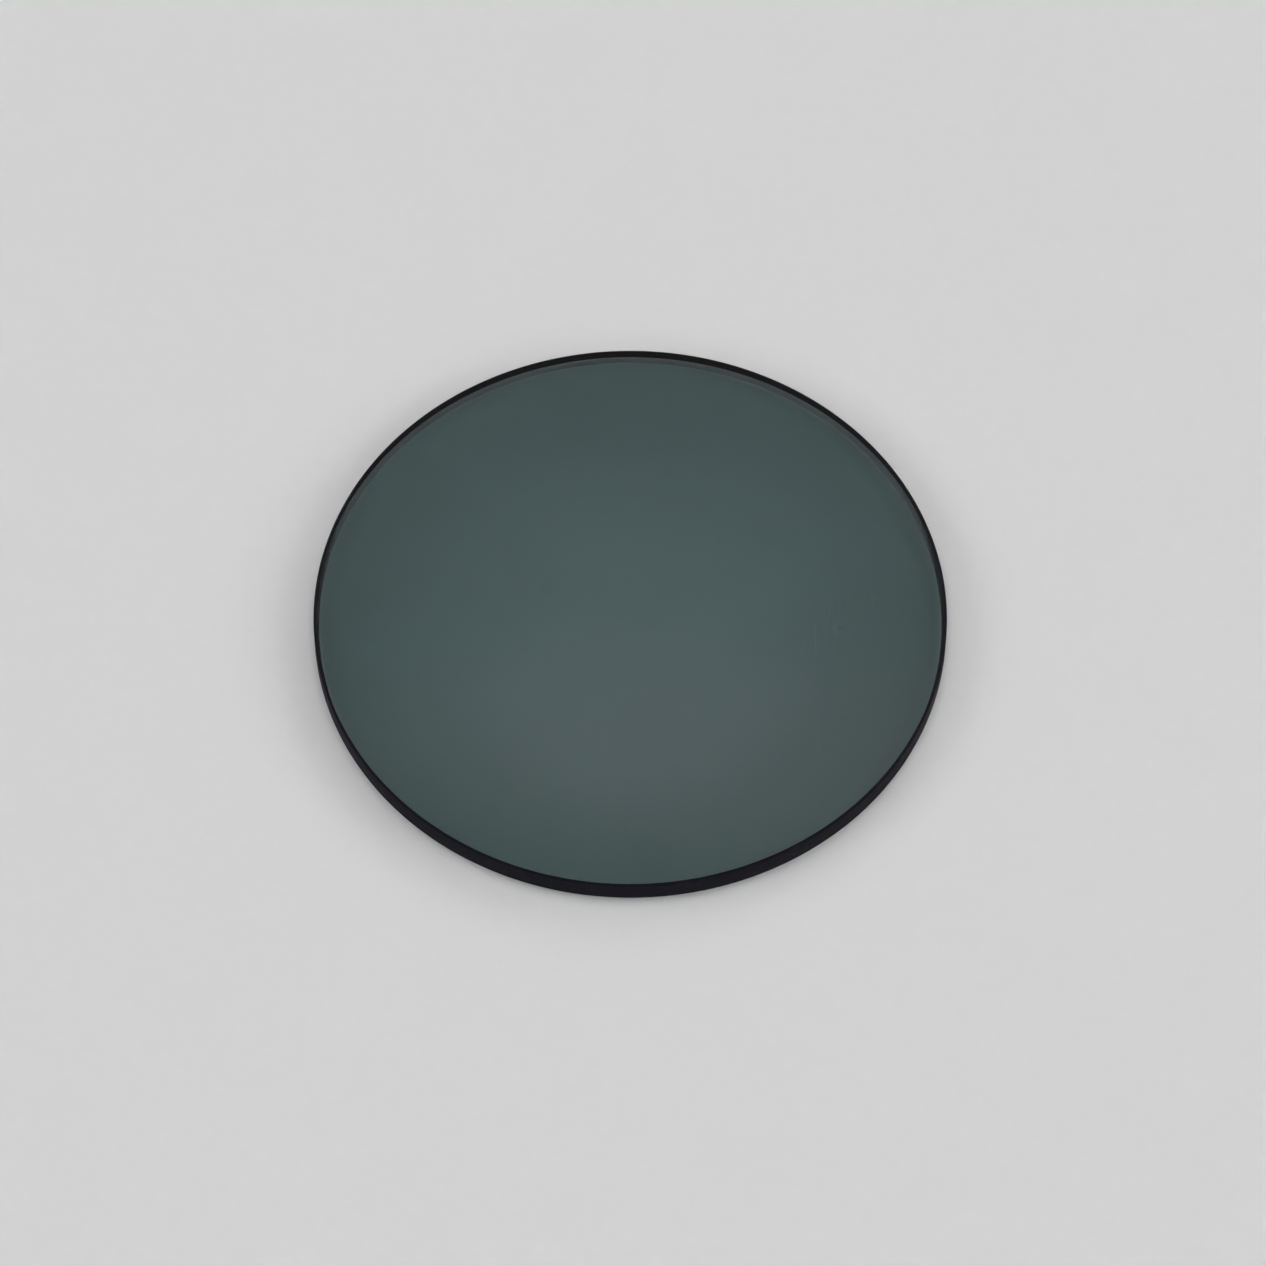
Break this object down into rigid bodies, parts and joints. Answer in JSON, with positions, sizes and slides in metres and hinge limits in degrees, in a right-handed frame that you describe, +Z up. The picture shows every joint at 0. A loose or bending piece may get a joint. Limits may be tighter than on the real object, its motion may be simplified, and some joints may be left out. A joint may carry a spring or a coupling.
{
  "type": "microscope filter",
  "caption": "Flat round disc of smoky grey-green glass with a bevelled, blackened rim, which drops into a microscope's filter holder to dim the lamp.",
  "frame": {"origin": "middle of the underside, the polished face that the disc rests on", "axes": "+Z up along the disc's axis of turning; X and Y lie in the underside"},
  "size_m": [0.045, 0.045, 0.002],
  "materials": {
    "smoked_glass": "polished faces, ground and blackened rim"
  },
  "bodies": {
    "root": {"filter_disc": "smoked_glass"}
  },
  "joints": []
}
